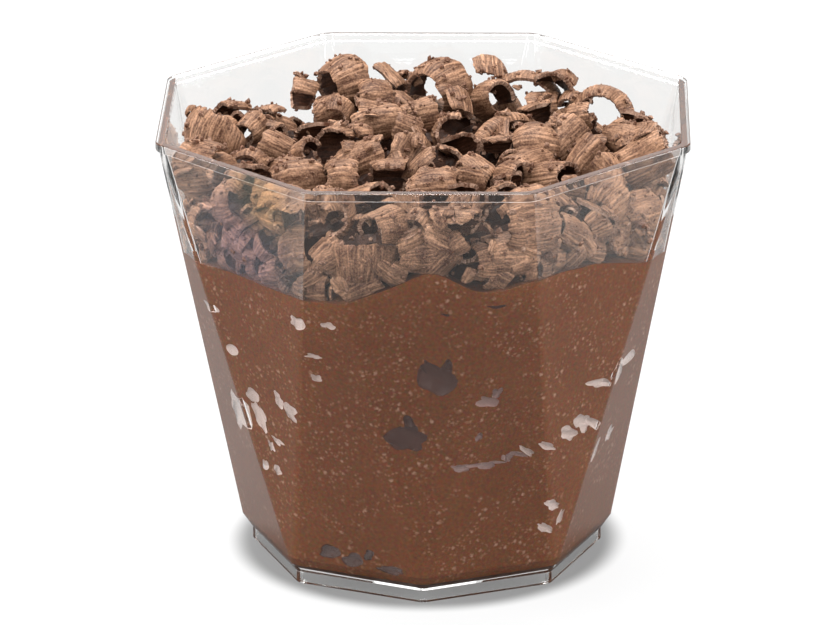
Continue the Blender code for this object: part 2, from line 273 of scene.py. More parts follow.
def make_cup():
    """All the stretches of the cup's skin, merged, with softened edges."""
    skin = joined([
        ledge_between(INNER_RIM, OUTER_RIM),
        wall_between(BAND_EDGE, OUTER_RIM),
        ledge_between(OUTER_TOP, BAND_EDGE),
        wall_between(OUTER_BASE, OUTER_TOP),
        wall_between(FOOT_TOP, OUTER_BASE),
        wall_between(FOOT_BOTTOM, FOOT_TOP),
        ledge_between(RING_BOTTOM, FOOT_BOTTOM),
        wall_between(RING_BOTTOM, RING_TOP),
        lid(RING_TOP),
        lid(INNER_FLOOR),
        wall_between(INNER_FLOOR, INNER_BASE),
        wall_between(INNER_BASE, INNER_RIM),
    ], "moulded_cup")
    in_edit_mode(
        skin,
        lambda: bpy.ops.mesh.remove_doubles(threshold=MERGE_DISTANCE),
        lambda: bpy.ops.mesh.normals_make_consistent(inside=False))
    apply_modifier(skin, "BEVEL", width=MOULD_EDGE, segments=MOULD_EDGE_STEPS,
                   limit_method="ANGLE", angle_limit=math.radians(CRISP_ANGLE))
    smoothed(skin, SHARP_ANGLE)
    apply_modifier(skin, "WEIGHTED_NORMAL", mode="FACE_AREA", weight=60, keep_sharp=True)
    return skin


moulded_cup = make_cup()
print("moulded_cup:", triangles(moulded_cup), "triangles,", open_edges(moulded_cup), "open edges")

# %% [markdown]
# ## Node materials
#
# One function turns a colour, an sRGB hex value, to the linear numbers that Blender's
# shaders take. The others add a node with its settings and links, and hand on its result,
# so that each material reads as a list of what it is made of.

# %% Helpers for materials


def linear(hex_colour, alpha=1.0):
    """An sRGB hex colour as linear red, green, blue and alpha."""
    channels = []
    for start in (1, 3, 5):
        value = int(hex_colour[start:start + 2], 16) / 255
        channels.append(value / 12.92 if value <= 0.04045 else ((value + 0.055) / 1.055) ** 2.4)
    return (*channels, alpha)


def new_material(name):
    """A material with a Principled shader, and its tree and shader node."""
    material = bpy.data.materials.new(name)
    material.use_nodes = True
    return material, material.node_tree, material.node_tree.nodes["Principled BSDF"]


def plug(tree, node, socket, value):
    """Sets one input of a node, by name or number, or links another node's output to it."""
    socket = node.inputs[socket]
    if isinstance(value, bpy.types.NodeSocket):
        tree.links.new(value, socket)
    else:
        socket.default_value = value


def plug_all(tree, node, **values):
    """Sets or links inputs by their names, with underscores for spaces."""
    for name, value in values.items():
        plug(tree, node, name.replace("_", " "), value)
    return node


def add(tree, kind, settings=None, **values):
    """Adds a node with its settings and inputs."""
    node = tree.nodes.new(kind)
    for name, setting in (settings or {}).items():
        setattr(node, name, setting)
    return plug_all(tree, node, **values)


def maths(tree, operation, *values, clamp=False):
    """The result of a sum on numbers."""
    node = add(tree, "ShaderNodeMath", {"operation": operation, "use_clamp": clamp})
    for index, value in enumerate(values):
        plug(tree, node, index, value)
    return node.outputs[0]


def vector_maths(tree, operation, *values):
    """The result of a sum on vectors, which is a number for a length or a distance."""
    node = add(tree, "ShaderNodeVectorMath", {"operation": operation})
    for index, value in enumerate(values):
        plug(tree, node, index, value)
    return node.outputs["Value" if operation in ("LENGTH", "DISTANCE") else "Vector"]


def mixed(tree, share, first, second, way="MIX"):
    """One colour blended into another by a share."""
    node = add(tree, "ShaderNodeMix", {"data_type": "RGBA", "blend_type": way}, Factor=share)
    plug(tree, node, 6, first)
    plug(tree, node, 7, second)
    return node.outputs[2]


def ramp(tree, value, start, end, low=0.0, high=1.0, way="LINEAR"):
    """Goes from low to high while a value goes from start to end, and no further."""
    return add(tree, "ShaderNodeMapRange", {"interpolation_type": way}, Value=value,
               From_Min=start, From_Max=end, To_Min=low, To_Max=high).outputs["Result"]

# %% [markdown]
# Patterns are sized in millimetres on the object, and what stands up from a surface is
# at most a tenth of one.

# %% Helpers for patterns


def per_mm(size):
    """The scale that gives a noise or cell pattern features of a size in millimetres."""
    return 1.0 / (size * MM)


def noise(tree, where, size, detail, roughness=0.5):
    """A cloudy pattern with features of a size in millimetres."""
    return add(tree, "ShaderNodeTexNoise", Vector=where, Scale=per_mm(size), Detail=detail,
               Roughness=roughness).outputs


def object_place(tree):
    """Places on the object, in metres from its origin."""
    return add(tree, "ShaderNodeTexCoord").outputs["Object"]


def raise_surface(tree, shader, height, strength):
    """Lets a pattern stand up from the surface, as light sees it."""
    bump = add(tree, "ShaderNodeBump", Height=height, Strength=strength, Distance=0.1 * MM)
    plug(tree, shader, "Normal", bump.outputs["Normal"])

# %% [markdown]
# Polystyrene is clear and bright, and the polished mould leaves its skin almost free of
# roughness. The stress that cooling locks into the plastic shows as a faint yellow and
# lilac tint under the rim on one side. Light that falls through the wall must reach the
# food, so a ray that only tests for shadow passes straight through.

# %% The plastic
STYRENE_INDEX = 1.5
STYRENE, SHADOW_PASSES = "#EEEEED", "#F4F4F5"
# Each strain is a place, how far it reaches and its colour
LILAC_STRAIN = (-26.5 * MM, -25.6 * MM, 57.0 * MM), 14 * MM, "#E0DDF0"
YELLOW_STRAIN = (-23.4 * MM, -31.0 * MM, 67.0 * MM), 9 * MM, "#F2ECD4"


def tinted(tree, here, before, centre, reach, colour):
    """Blends a colour in round a point, fading out over a reach."""
    away = vector_maths(tree, "DISTANCE", here, centre)
    share = ramp(tree, away, reach, 0.2 * reach, way="SMOOTHSTEP")
    return mixed(tree, share, before, linear(colour))


def clear_polystyrene():
    """Clear plastic with two faint stress tints, which lets shadow rays pass."""
    material, tree, shader = new_material("injection-moulded clear polystyrene")
    here = object_place(tree)
    lilac = tinted(tree, here, linear(STYRENE), *LILAC_STRAIN)
    plug_all(tree, shader, Base_Color=tinted(tree, here, lilac, *YELLOW_STRAIN),
             Roughness=0.0, IOR=STYRENE_INDEX, Transmission_Weight=1.0)
    rays = add(tree, "ShaderNodeLightPath").outputs
    clear = add(tree, "ShaderNodeBsdfTransparent", Color=linear(SHADOW_PASSES))
    either = add(tree, "ShaderNodeMixShader")
    plug(tree, either, 0, rays["Is Shadow Ray"])
    plug(tree, either, 1, shader.outputs["BSDF"])
    plug(tree, either, 2, clear.outputs["BSDF"])
    plug(tree, tree.nodes["Material Output"], "Surface", either.outputs["Shader"])
    return material


moulded_cup.data.materials.append(clear_polystyrene())

# %% [markdown]
# ## The mousse
#
# Mousse is a whipped cream with air in it. It was piped in, so it clings to the wall up
# to an uneven line, which rises to a hump at the front. The solid is a hull that
# reaches just into the wall, so that no air shows between mousse and plastic.

# %% The line of the mousse
REACH_INTO_WALL = 0.12 * MM
MOUSSE_LEVEL = 51.2 * MM
# Each swell: its bearing and half its width in degrees, and how far it rises
MOUSSE_SWELLS = (
    (-142.0, 9.0, 0.9 * MM),
    (-91.0, 9.0, 4.8 * MM),
    (-87.0, 4.5, 2.4 * MM),
    (-55.0, 17.0, 5.0 * MM),
    (28.0, 20.0, 2.6 * MM),
    (96.0, 22.0, 3.2 * MM),
    (152.0, 15.0, 1.6 * MM),
)


def mousse_top(x, y):
    """The height of the mousse's uneven surface, for numbers or arrays."""
    reach = np.hypot(x, y) / (RIM_RADIUS - WALL)
    azimuth = np.degrees(np.arctan2(y, x))
    height = MOUSSE_LEVEL + 1.2 * MM * (1.0 - reach * reach)
    for place, half_width, rise in MOUSSE_SWELLS:
        away = (azimuth - place + 180.0) % 360.0 - 180.0
        height = height + rise * reach * reach * np.exp(-0.5 * (away / half_width) ** 2)
    return height


def spoon_marks(x, y):
    """Small waves and dimples in the surface, a few millimetres apart."""
    first = np.sin(x / (1.9 * MM) + 1.3 * np.sin(y / (2.7 * MM)))
    second = np.sin(y / (1.4 * MM) + 0.9 * np.sin(x / (2.2 * MM) + 2.0))
    return 0.16 * MM * (first + second)

# %% [markdown]
# A block whose top follows the surface trims the hull. It is a fine grid, lifted point by
# point by the height function and extruded downwards.

# %% The mousse's body
SHEET_SIZE = 92 * MM
SHEET_CELLS = 150
UNDER_CUP = -5 * MM


def coordinates(thing):
    """A mesh's points as an array of rows."""
    values = np.empty(len(thing.data.vertices) * 3, np.float32)
    thing.data.vertices.foreach_get("co", values)
    return values.reshape(-1, 3).astype(float)


def set_coordinates(thing, rows):
    """Moves a mesh's points to the places in the rows."""
    thing.data.vertices.foreach_set("co", np.asarray(rows, np.float32).ravel())
    thing.data.update()


def block_under(name, height, bottom, size=SHEET_SIZE, cells=SHEET_CELLS):
    """A block whose finely divided top follows a height function."""
    bpy.ops.mesh.primitive_grid_add(x_subdivisions=cells, y_subdivisions=cells, size=size,
                                    location=(0, 0, 0))
    block = bpy.context.object
    block.name = name
    rows = coordinates(block)
    rows[:, 2] = height(rows[:, 0], rows[:, 1])
    set_coordinates(block, rows)
    in_edit_mode(block, lambda: bpy.ops.mesh.extrude_region_move(
        TRANSFORM_OT_translate={"value": (0, 0, -1)}))
    rows = coordinates(block)
    rows[rows[:, 2] < -0.5, 2] = bottom
    set_coordinates(block, rows)
    return in_edit_mode(block, lambda: bpy.ops.mesh.normals_make_consistent(inside=False))


def hollow(name, inset, top=CUP_HEIGHT):
    """A hull of the cup's inside, drawn in from the wall and the floor by an inset."""
    return stretched(name, *inside_rings(inset, top))


mousse = hollow("mousse_fill", -REACH_INTO_WALL)
cut(mousse, "INTERSECT", block_under(
    "surface", lambda x, y: mousse_top(x, y) + spoon_marks(x, y), UNDER_CUP))
print("mousse_fill:", triangles(mousse), "triangles")

# %% [markdown]
# Filling traps air against the wall, and where it does the mousse stands back from the
# plastic. A deep pocket's skin is painted dark, as painted shade in the hollow. A shallow
# one is painted pale and a thin one greyish, as painted reflection from the plastic's
# inner face.

# %% Air pockets
DEEP, PALE, THIN = range(3)
Pocket = namedtuple("Pocket", "azimuth height width tall depth lean kind")
# Azimuth and lean in degrees, the rest in millimetres, from left to right
POCKETS = [Pocket(*row) for row in (
    (-152, 44.5, 5.1, 1.6, 0.5, 0, PALE),
    (-147, 38.5, 2.2, 1.8, 0.4, 10, PALE),
    (-150, 27.6, 9.2, 5.4, 0.7, 24, PALE),
    (-142, 31.4, 2.8, 2.3, 0.5, 20, PALE),
    (-140, 28.6, 2.5, 4.6, 0.5, 24, PALE),
    (-134, 24.9, 2.6, 1.2, 0.4, -10, PALE),
    (-131, 32.4, 2.0, 2.8, 0.4, 4, PALE),
    (-127, 31.0, 2.5, 3.0, 0.5, 34, PALE),
    (-137, 23.6, 1.5, 1.6, 0.4, 20, PALE),
    (-136, 19.6, 1.7, 1.9, 0.4, 26, PALE),
    (-141, 19.8, 1.4, 2.0, 0.4, 0, PALE),
    (-120, 47.4, 3.4, 2.8, 0.5, 20, PALE),
    (-112, 47.8, 2.6, 1.2, 0.4, 0, PALE),
    (-117, 42.0, 2.6, 0.8, 0.4, 0, PALE),
    (-117, 38.2, 1.8, 1.4, 0.4, 0, PALE),
    (-94.6, 29.0, 5.8, 4.4, 0.9, -6, DEEP),
    (-93.2, 31.2, 2.2, 3.2, 0.8, 8, DEEP),
    (-86.2, 39.0, 5.2, 5.2, 0.9, 0, DEEP),
    (-88.4, 41.2, 1.8, 3.4, 0.8, 16, DEEP),
    (-83.4, 41.0, 1.8, 3.2, 0.8, -14, DEEP),
    (-73.2, 35.2, 4.2, 2.2, 0.7, -24, THIN),
    (-70.6, 36.4, 2.2, 1.7, 0.8, 30, THIN),
    (-74.6, 28.9, 1.2, 1.2, 0.7, 0, THIN),
    (-72.4, 51.6, 2.8, 0.55, 0.8, 2, DEEP),
    (-84.0, 50.2, 1.4, 0.4, 0.6, -12, DEEP),
    (-79.0, 23.7, 3.0, 1.4, 0.7, -8, THIN),
    (-75.4, 23.9, 4.6, 0.6, 0.5, 3, THIN),
    (-71.4, 23.6, 2.8, 1.2, 0.7, -10, THIN),
    (-68.4, 23.9, 3.8, 0.6, 0.5, -10, THIN),
    (-65.8, 24.5, 1.8, 1.5, 0.7, -30, THIN),
    (-63.0, 24.9, 3.6, 0.7, 0.5, -16, THIN),
    (-60.0, 25.2, 3.0, 0.9, 0.6, -38, PALE),
    (-53.6, 25.4, 4.0, 1.1, 0.6, -24, PALE),
    (-46.5, 26.4, 4.4, 2.2, 0.6, -34, PALE),
    (-41.5, 27.6, 3.9, 2.8, 0.6, -40, PALE),
    (-36.5, 26.6, 5.0, 1.4, 0.5, -30, PALE),
    (-36.0, 33.4, 5.4, 1.6, 0.5, -14, PALE),
    (-30.0, 34.6, 2.8, 3.8, 0.5, -8, PALE),
    (-25.0, 35.6, 6.2, 2.0, 0.5, 0, PALE),
    (-33.0, 21.6, 1.7, 3.6, 0.4, -22, PALE),
    (-24.0, 22.6, 2.5, 2.8, 0.4, -20, PALE),
    (-49.0, 14.6, 3.2, 1.3, 0.4, -30, PALE),
    (-50.0, 10.6, 3.4, 1.3, 0.4, -34, PALE),
    (-45.0, 12.0, 1.1, 3.0, 0.4, -24, PALE),
    (-122, 6.9, 3.5, 2.4, 0.7, 0, DEEP),
    (-114, 6.0, 3.6, 2.2, 0.7, 0, DEEP),
    (-108, 7.2, 1.8, 2.0, 0.7, 0, DEEP),
    (-100, 5.2, 4.4, 1.7, 0.7, 0, DEEP),
)]
print(len(POCKETS), "air pockets,", sum(pocket.kind == DEEP for pocket in POCKETS), "deep")

# %% [markdown]
# Each pocket is a lumpy ball, sunk halfway into the wall and cut out of the mousse, so
# that it is a real hollow. A ray from the axis finds the wall, and the ball is laid flat
# against it there.

# %% The shape of a pocket
POCKET_LUMPS, LUMP_WAVES = 0.26, 5


def wall_point(shell, azimuth, height):
    """Where a level line from the axis meets a shell, and the shell's normal there."""
    angle = math.radians(azimuth)
    way = Vector((math.cos(angle), math.sin(angle), 0.0))
    _, place, normal, _ = shell.ray_cast(Vector((0.0, 0.0, height * MM)), way)
    return place, normal if normal.dot(way) > 0 else -normal


def wall_axes(normal, lean):
    """Axes on the wall: sideways, upwards and outwards, turned by a lean in degrees."""
    side = Vector((0, 0, 1)).cross(normal).normalized()
    upward = normal.cross(side)
    turn = Matrix.Rotation(math.radians(lean), 3, normal)
    return turn @ side, turn @ upward, normal


def lumpy(rows, rng, strength):
    """Pushes points in and out by a few random waves, for an outline with no rule."""
    push = np.zeros(len(rows))
    for _ in range(LUMP_WAVES):
        way = np.array([rng.uniform(-1, 1) for _ in range(3)])
        push += np.sin(rows @ way * rng.uniform(3.0, 7.0) + rng.uniform(0, math.tau))
    return rows * (1.0 + strength * push / 2.2)[:, None]


def make_pocket(pocket, shell, rng):
    """A lumpy flat ball, half in the wall."""
    bpy.ops.mesh.primitive_ico_sphere_add(subdivisions=3, radius=1.0)
    ball = bpy.context.object
    rows = lumpy(coordinates(ball), rng, POCKET_LUMPS)
    place, normal = wall_point(shell, pocket.azimuth, pocket.height)
    side, upward, out = wall_axes(normal, pocket.lean)
    sizes = np.array([pocket.width / 2, pocket.tall / 2, pocket.depth]) * MM
    axes = np.array([side, upward, out])
    set_coordinates(ball, (rows * sizes) @ axes + np.array(place))
    return ball

# %% [markdown]
# The cream is brown with slow clouds in it, and grain just finer than a millimetre. Its
# pores and undissolved specks show as pale flecks, one or none to a cell of a pattern,
# in patches. A little warp from the grain keeps them from looking round.

# %% The mousse's finish
FLECK_WARP = 0.7 * MM
PATCH_SIZE, PATCH_EDGE = 5.0, 0.07
# Each layer of flecks: the cell in mm, the fleck's share of it, the patch level, the colour
SMALL_FLECKS = 0.8, 0.34, 0.46, "#7E5A44"
LARGE_FLECKS = 1.5, 0.27, 0.52, "#917260"


def flecked(tree, here, before, cell, size, patch, colour):
    """Scatters flecks, one to a cell. The size is a share of the cell, the patch a level."""
    cells = add(tree, "ShaderNodeTexVoronoi", Vector=here, Scale=per_mm(cell), Randomness=1.0)
    fleck = ramp(tree, cells.outputs["Distance"], 0.2 * size, size, 1.0, 0.0)
    patchy = noise(tree, here, PATCH_SIZE, 1.0)["Fac"]
    some = ramp(tree, patchy, patch - PATCH_EDGE, patch + PATCH_EDGE)
    return mixed(tree, maths(tree, "MULTIPLY", fleck, some), before, linear(colour))


def aerated_mousse():
    """Brown cream with clouds, grain and two layers of flecks."""
    material, tree, shader = new_material("aerated milk-chocolate mousse")
    here = object_place(tree)
    clouds = noise(tree, here, 14.0, 3.0, 0.55)["Fac"]
    body = mixed(tree, clouds, linear("#573019"), linear("#663E24"))
    grain = noise(tree, here, 0.45, 4.0)
    mottled = mixed(tree, 0.8, body, grain["Color"], "SOFT_LIGHT")
    warped = vector_maths(tree, "MULTIPLY_ADD", grain["Color"], (FLECK_WARP,) * 3, here)
    fine = flecked(tree, warped, mottled, *SMALL_FLECKS)
    plug_all(tree, shader, Base_Color=flecked(tree, warped, fine, *LARGE_FLECKS),
             Roughness=0.55, Specular_IOR_Level=0.06)
    raise_surface(tree, shader, grain["Fac"], 0.25)
    return material


def painted_pocket_skin(name, colour, roughness):
    """The skin of a pocket, of one colour: painted shade when dark, painted reflection when pale.
    """
    material, tree, shader = new_material(name)
    plug_all(tree, shader, Base_Color=linear(colour), Roughness=roughness,
             Specular_IOR_Level=0.2)
    return material


# In the order of DEEP, PALE and THIN: a skin of painted shade, then two of painted reflection
PAINTED_POCKET_SKINS = (
    painted_pocket_skin("mousse skin with painted shade in a deep air pocket", "#3E2016", 0.45),
    painted_pocket_skin("mousse skin with painted reflection in a shallow air pocket", "#AD9A92", 0.35),
    painted_pocket_skin("mousse film with painted reflection in a thin air pocket", "#7A5F59", 0.40),
)
for material in (aerated_mousse(), *PAINTED_POCKET_SKINS):
    mousse.data.materials.append(material)
print("mousse materials:", [material.name for material in mousse.data.materials])

# %% [markdown]
# Boolean cuts hand the tool's material to the new faces, which gives each pocket its own
# skin. The wall's facets stay flat, as the plastic they press on is.

# %% Cutting the pockets
POCKET_SEED = 7
MOUSSE_SHARP_ANGLE = 35


def cut_pockets():
    """Cuts all pockets out of the mousse."""
    rng = random.Random(POCKET_SEED)
    balls = [make_pocket(pocket, mousse, rng) for pocket in POCKETS]
    for ball, pocket in zip(balls, POCKETS):
        ball.data.materials.append(PAINTED_POCKET_SKINS[pocket.kind])
        cut(mousse, "DIFFERENCE", ball, "MANIFOLD")


cut_pockets()
smoothed(mousse, MOUSSE_SHARP_ANGLE)
for face in mousse.data.polygons:
    if face.material_index == 0 and abs(face.normal.z) < 0.5:
        face.use_smooth = False
print("mousse_fill with", len(POCKETS), "pockets:", triangles(mousse), "triangles")

# %% [markdown]
# ## The curls
#
# A vegetable peeler drawn over a block of milk chocolate lifts strips that roll up as
# they come. The blade chatters, so each strip is ridged across, with ragged sides. The
# strip starts as a grid. It could be bent with Simple Deform, but that only gives plain
# cylinders, so its points are rolled up by formula instead: along the strip for the
# turn, with ridges, a bow across, a flare to one end, and torn sides. Solidify then
# gives the shaving its thickness, with a material of its own for the inside and the
# broken edge.

# %% The curls placed one by one
Curl = namedtuple("Curl", "x y z radius width turn heading tilt roll bow flare")
# The place and sizes are in mm. The heading and tilt of the axis, the roll round it and
# the turn of the arc are in degrees.
TOP_SHOWN = [Curl(*row) for row in (
    (-13.5, 31.0, 64.4, 4.4, 6.5, 270, 40, 5, -10, 0.5, 0.4),
    (-9.0, 27.0, 62.8, 3.4, 6.0, 210, 20, 0, 65, 0.4, 0.0),
    (1.5, 31.0, 63.2, 4.9, 6.5, 255, 48, 0, 10, 0.4, 0.5),
    (10.0, 28.5, 63.2, 2.7, 5.2, 280, -50, 25, 30, 0.6, 0.0),
    (15.0, 30.5, 60.6, 6.3, 3.6, 140, 80, -12, 8, 0.0, 0.4),
    (22.6, 25.2, 63.2, 2.2, 3.4, 200, 70, 0, 20, 0.0, 0.3),
    (28.2, 21.0, 62.6, 4.6, 4.5, 170, 75, -8, 20, 0.3, 0.4),
    (-14.5, 19.5, 63.2, 2.9, 3.6, 230, 80, 10, 60, 0.0, 0.3),
    (-8.0, 15.5, 63.4, 2.2, 8.0, 250, 12, 6, 40, 0.4, 0.3),
    (11.5, 13.5, 55.9, 9.0, 3.2, 105, -51, 0, 0, 0.0, 0.0),
    (26.0, 13.0, 63.4, 4.2, 6.0, 110, 25, 0, -130, 0.3, 0.5),
    (-27.5, 11.5, 63.6, 2.3, 5.0, 280, 65, 8, 20, 0.0, 0.2),
    (31.5, 7.0, 63.4, 2.8, 7.5, 270, -37, 0, 30, 0.4, 0.4),
    (-32.5, 6.0, 63.8, 4.0, 8.0, 210, 50, 62, 0, 1.2, 0.6),
    (17.0, 3.0, 62.4, 3.9, 7.0, 190, 5, 0, 40, 1.1, 0.0),
    (-27.0, -3.5, 61.8, 3.2, 4.5, 170, 80, -15, 0, 0.3, 0.3),
    (-12.5, -12.0, 62.8, 3.0, 5.0, 260, 5, 0, 60, 0.4, 0.2),
    (-5.5, -10.5, 62.6, 3.4, 6.0, 190, -5, 0, -60, 0.3, 0.4),
    (5.8, -9.6, 62.4, 4.2, 9.5, 230, -12, 0, 160, 0.5, 0.4),
    (14.0, -9.0, 62.6, 2.6, 6.5, 200, -60, 15, 60, 0.3, 0.2),
    (-19.5, -11.5, 62.6, 2.8, 8.0, 240, 15, 0, 50, 0.5, 0.3),
    (1.5, -16.5, 62.8, 3.0, 7.0, 220, 5, 0, 45, 0.6, 0.3),
)]
WALL_SHOWN = [Curl(*row) for row in (
    (-33.0, -12.6, 56.6, 2.7, 5.0, 200, -70, 10, 90, 0.3, 0.2),
    (-28.0, -19.4, 62.4, 3.0, 6.0, 240, -55, 20, 80, 0.6, 0.2),
    (-26.0, -20.4, 57.2, 3.6, 7.0, 230, -55, -20, 90, 0.5, 0.4),
    (-20.5, -26.5, 63.8, 3.2, 6.0, 200, -40, 0, 70, 0.4, 0.3),
    (-17.8, -29.8, 58.4, 3.2, 5.5, 190, -30, 20, 90, 0.4, 0.4),
    (-13.5, -32.0, 64.4, 3.4, 3.6, 200, 85, -10, 80, 0.2, 0.3),
    (-8.8, -31.0, 57.0, 5.6, 6.6, 130, 82, 78, 0, 0.3, 1.2),
    (-5.0, -32.5, 63.6, 4.4, 3.0, 105, 60, 10, 150, 0.0, 0.3),
    (-0.8, -33.0, 61.8, 3.5, 4.4, 240, 70, 0, 90, 0.2, 0.3),
    (7.0, -31.5, 61.8, 4.4, 7.0, 240, 60, 10, -120, 0.4, 0.5),
    (16.0, -30.6, 62.0, 5.0, 8.0, 150, 27, 0, 75, 0.5, 0.3),
    (27.4, -19.4, 62.6, 3.0, 5.0, 220, 55, 20, 80, 0.4, 0.2),
    (27.4, -18.8, 57.6, 3.0, 5.5, 200, 55, -5, 90, 0.4, 0.2),
)]

# %% [markdown]
# The rest of the heap follows a rule. Two tiers of curls go round the wall, and a spiral
# of places covers the top. A curl that would stand in one of those above is left out.

# %% The curls laid by rule
HEAP_TOP = 66.4
HEAP_SEED = 41
WALL_TIERS = ((58.4, 0.0), (63.4, 0.5))
WALL_CURLS, TOP_CURLS = 16, 66
WALL_REACH, TOP_REACH = 40.0, 35.0
ELBOW_ROOM = 0.48


def scattered_curl(rng, reach, angle, height, size):
    """A curl of a random form at a place."""
    return Curl(reach * math.cos(angle), reach * math.sin(angle), height, size,
                size * rng.uniform(1.5, 2.3), rng.uniform(110, 250),
                rng.uniform(0, 180), rng.uniform(-35, 35), rng.uniform(-100, 100),
                0.0, rng.uniform(0.0, 0.5))


def scattered_curls(rng):
    """Curls by rule: two tiers round the wall, and a spiral of places over the top."""
    curls = []
    for height, lift in WALL_TIERS:
        for index in range(WALL_CURLS):
            angle = math.tau * (index + lift + rng.uniform(-0.15, 0.15)) / WALL_CURLS
            size = rng.uniform(2.6, 4.0)
            curls.append(scattered_curl(rng, WALL_REACH - size, angle,
                                        height + rng.uniform(-0.8, 0.8), size))
    golden = math.pi * (3.0 - math.sqrt(5.0))
    for index in range(TOP_CURLS):
        reach = TOP_REACH * math.sqrt((index + 0.5) / TOP_CURLS)
        size = rng.uniform(2.2, 4.0)
        curls.append(scattered_curl(rng, reach, golden * index,
                                    HEAP_TOP - size + rng.uniform(-2.2, 0.2), size))
    return curls


def has_room(curl):
    """True if a scattered curl stands clear of those that are listed."""
    here = Vector((curl.x, curl.y, curl.z))
    return all((Vector((other.x, other.y, other.z)) - here).length
               > ELBOW_ROOM * (curl.radius + other.radius + 0.25 * other.width)
               for other in TOP_SHOWN + WALL_SHOWN)


scattered = [curl for curl in scattered_curls(random.Random(HEAP_SEED)) if has_room(curl)]
print(len(TOP_SHOWN + WALL_SHOWN), "placed curls and", len(scattered), "scattered ones")

# %% [markdown]
# A strip is a grid with a fine division along it, so that each ridge has several rows of
# faces. Ridges stand in rows across the strip, with uneven steps and depths. A strip
# keeps its flat coordinates in mm as UVs, and the height of its ridges as an attribute.
# The chocolate reads both, and from the height paints a highlight on the crests and
# shade in the grooves.

# %% The shape of a shaving
SAMPLE_ALONG, SAMPLE_ACROSS = 0.17, 0.8
THICKNESS = 0.85
RIDGE_PITCH, RIDGE_DEPTH = (0.38, 0.72), (0.05, 0.15)
RIDGE_RISE, RIDGE_FALL = 0.7, 0.3


def waves(values, rng, scale, count=3):
    """A smooth random curve over values, about -1 to 1, with features of a scale."""
    total = np.zeros_like(values)
    for turn in range(count):
        total += np.sin(values / scale * rng.uniform(0.6, 1.6) * (1 + turn)
                        + rng.uniform(0, math.tau)) / (1 + 0.5 * turn)
    return total / 1.7


def ridges(along, rng, pitch):
    """Height, 0 to 1, and number of the chatter ridge at each place along a strip."""
    reach = along.max() - along.min() + 4 * pitch
    starts = along.min() - 2 * pitch + np.cumsum(
        [pitch * rng.uniform(0.5, 1.6) for _ in range(int(2 * reach / pitch) + 3)])
    number = np.clip(np.searchsorted(starts, along) - 1, 0, len(starts) - 2)
    share = np.clip((along - starts[number]) / (starts[number + 1] - starts[number]), 0, 1)
    height = np.where(share < RIDGE_RISE, share / RIDGE_RISE, (1 - share) / RIDGE_FALL)
    depth = np.array([rng.uniform(0.25, 1.25) for _ in starts])
    return height ** 0.8 * depth[number], number


def rolled(curl, rng, flat_u, flat_v):
    """Rolls a flat strip up round the X axis. Returns its points and how high they stand."""
    length = curl.radius * math.radians(curl.turn)
    pitch, depth = rng.uniform(*RIDGE_PITCH), rng.uniform(*RIDGE_DEPTH)
    side = 0.5 * np.sin(math.pi * flat_v)
    # Ragged ends, and ridges that waver
    along = flat_u * length * (1.0 + 0.03 * waves(side * curl.width, rng, 0.6)
                               * (2 * np.abs(flat_u)) ** 4)
    warped = along + 0.20 * waves(side * curl.width, rng, 1.8) + 0.08 * waves(along, rng, 0.9)
    height, number = ridges(warped, rng, pitch)
    # Sides torn at each ridge, slimmer ends, and a slant
    nicks = np.array([[rng.uniform(0.93, 1.03) for _ in range(int(number.max()) + 1)]
                      for _ in range(2)])
    torn = nicks[(side > 0).astype(int), number] + 0.05 * waves(along, rng, 1.3) - 1.0
    slim = np.where(flat_u < 0, rng.uniform(0.0, 0.4), rng.uniform(0.0, 0.4))
    breadth = 1.0 - slim * (2 * np.abs(flat_u)) ** 3 + torn * (2 * np.abs(side)) ** 3
    across = -side * curl.width * breadth + rng.uniform(-0.12, 0.12) * along
    # A spiral, bowed across, flared, dented, drawn in at the sides and ridged
    radius = curl.radius * (1.0 + rng.uniform(-0.08, 0.2) * along / length)
    bow = curl.bow + rng.uniform(0.0, 0.07) * curl.radius
    radius = radius + bow * (1 - 4 * side ** 2) + curl.flare * 2 * -side
    radius = radius + 0.10 * waves(along + 1.7 * across, rng, 1.9)
    radius = radius - 0.22 * np.clip((2 * np.abs(side) - 0.8) / 0.2, 0, 1) ** 2
    radius = radius + depth * (height - 0.5)
    angle = along / curl.radius
    points = np.stack([across, radius * np.sin(angle), radius * np.cos(angle)], axis=1)
    strip = np.stack([along, side * curl.width], axis=1)
    return points * MM, np.clip(height, 0, 1), strip

# %% [markdown]
# The wall's planes come from a hull of the cup's inside. A shaving that reaches into one
# of them or into the mousse is moved out again, a few times over.

# %% A shaving in its place
EDGE_LEVELS, EDGE_THINNING = 5, 0.08
SETTLE_ROUNDS = 8
CLEAR_OF_WALL = 0.2 * MM
room = hollow("room", CLEAR_OF_WALL, CUP_HEIGHT + 5 * MM)
WALL_NORMALS = np.array([face.normal for face in room.data.polygons])
WALL_CENTRES = np.array([face.center for face in room.data.polygons])
bpy.data.objects.remove(room)


def placing(curl):
    """Where a curl's axis lies and how the arc is turned about it."""
    return (Matrix.Translation(Vector((curl.x, curl.y, curl.z)) * MM)
            @ Matrix.Rotation(math.radians(curl.heading), 4, "Z")
            @ Matrix.Rotation(-math.radians(curl.tilt), 4, "Y")
            @ Matrix.Rotation(math.radians(curl.roll), 4, "X"))


def settle(points, sink=0.0):
    """Moves points together until they are clear of the wall and of the mousse."""
    limits = (WALL_CENTRES * WALL_NORMALS).sum(axis=1)
    for _ in range(SETTLE_ROUNDS):
        into = (points @ WALL_NORMALS.T - limits).max(axis=0)
        worst = int(into.argmax())
        if into[worst] > 0:
            points = points - WALL_NORMALS[worst] * into[worst]
        sunk = (mousse_top(points[:, 0], points[:, 1]) - sink - points[:, 2]).max()
        if sunk > 0:
            points = points + np.array([0, 0, sunk])
    return points


